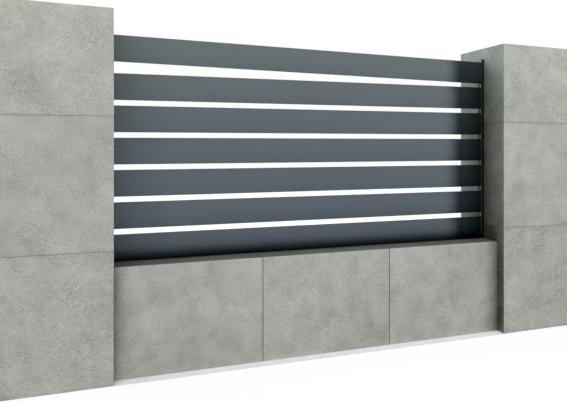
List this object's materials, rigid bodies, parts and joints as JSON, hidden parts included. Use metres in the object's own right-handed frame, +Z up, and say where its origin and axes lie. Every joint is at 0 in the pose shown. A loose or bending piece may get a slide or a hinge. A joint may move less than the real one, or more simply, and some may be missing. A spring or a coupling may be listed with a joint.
{
  "type": "slat fence with block wall and pillars",
  "caption": "Run of garden fence: smooth concrete pillars, a low concrete block wall between them and level aluminium slats above it.",
  "frame": {"origin": "on the ground at the middle of the fence's length and depth", "axes": "+X along the fence towards the lower end of the falling top line, +Y from the front to the back, +Z up"},
  "size_m": [8, 0.37, 1.6418],
  "materials": {
    "pillar_concrete": "smooth cast concrete",
    "wall_concrete": "smooth cast concrete",
    "footing_concrete": "pale floated screed",
    "slat_paint": "matt anthracite powder coat",
    "bar_paint": "matt dark anthracite powder coat"
  },
  "bodies": {
    "root": {"pillar_1_base": "pillar_concrete", "pillar_1_middle": "pillar_concrete", "pillar_1_top": "pillar_concrete", "pillar_2_base": "pillar_concrete", "pillar_2_middle": "pillar_concrete", "pillar_2_top": "pillar_concrete", "pillar_3_base": "pillar_concrete", "pillar_3_middle": "pillar_concrete", "pillar_3_top": "pillar_concrete", "pillar_4_base": "pillar_concrete", "pillar_4_middle": "pillar_concrete", "pillar_4_top": "pillar_concrete", "wall_1_block_1": "wall_concrete", "wall_1_block_2": "wall_concrete", "wall_1_block_3": "wall_concrete", "wall_2_block_1": "wall_concrete", "wall_2_block_2": "wall_concrete", "wall_2_block_3": "wall_concrete", "wall_3_block_1": "wall_concrete", "wall_3_block_2": "wall_concrete", "wall_3_block_3": "wall_concrete", "footing_1": "footing_concrete", "footing_2": "footing_concrete", "footing_3": "footing_concrete", "level_slats_1": "slat_paint", "level_slats_2": "slat_paint", "level_slats_3": "slat_paint", "top_slat_1": "slat_paint", "top_slat_2": "slat_paint", "top_slat_3": "slat_paint", "fixing_strip_1": "bar_paint", "fixing_strip_2": "bar_paint", "fixing_strip_3": "bar_paint", "end_bar_1": "bar_paint", "end_bar_2": "bar_paint", "end_bar_3": "bar_paint"}
  },
  "joints": []
}
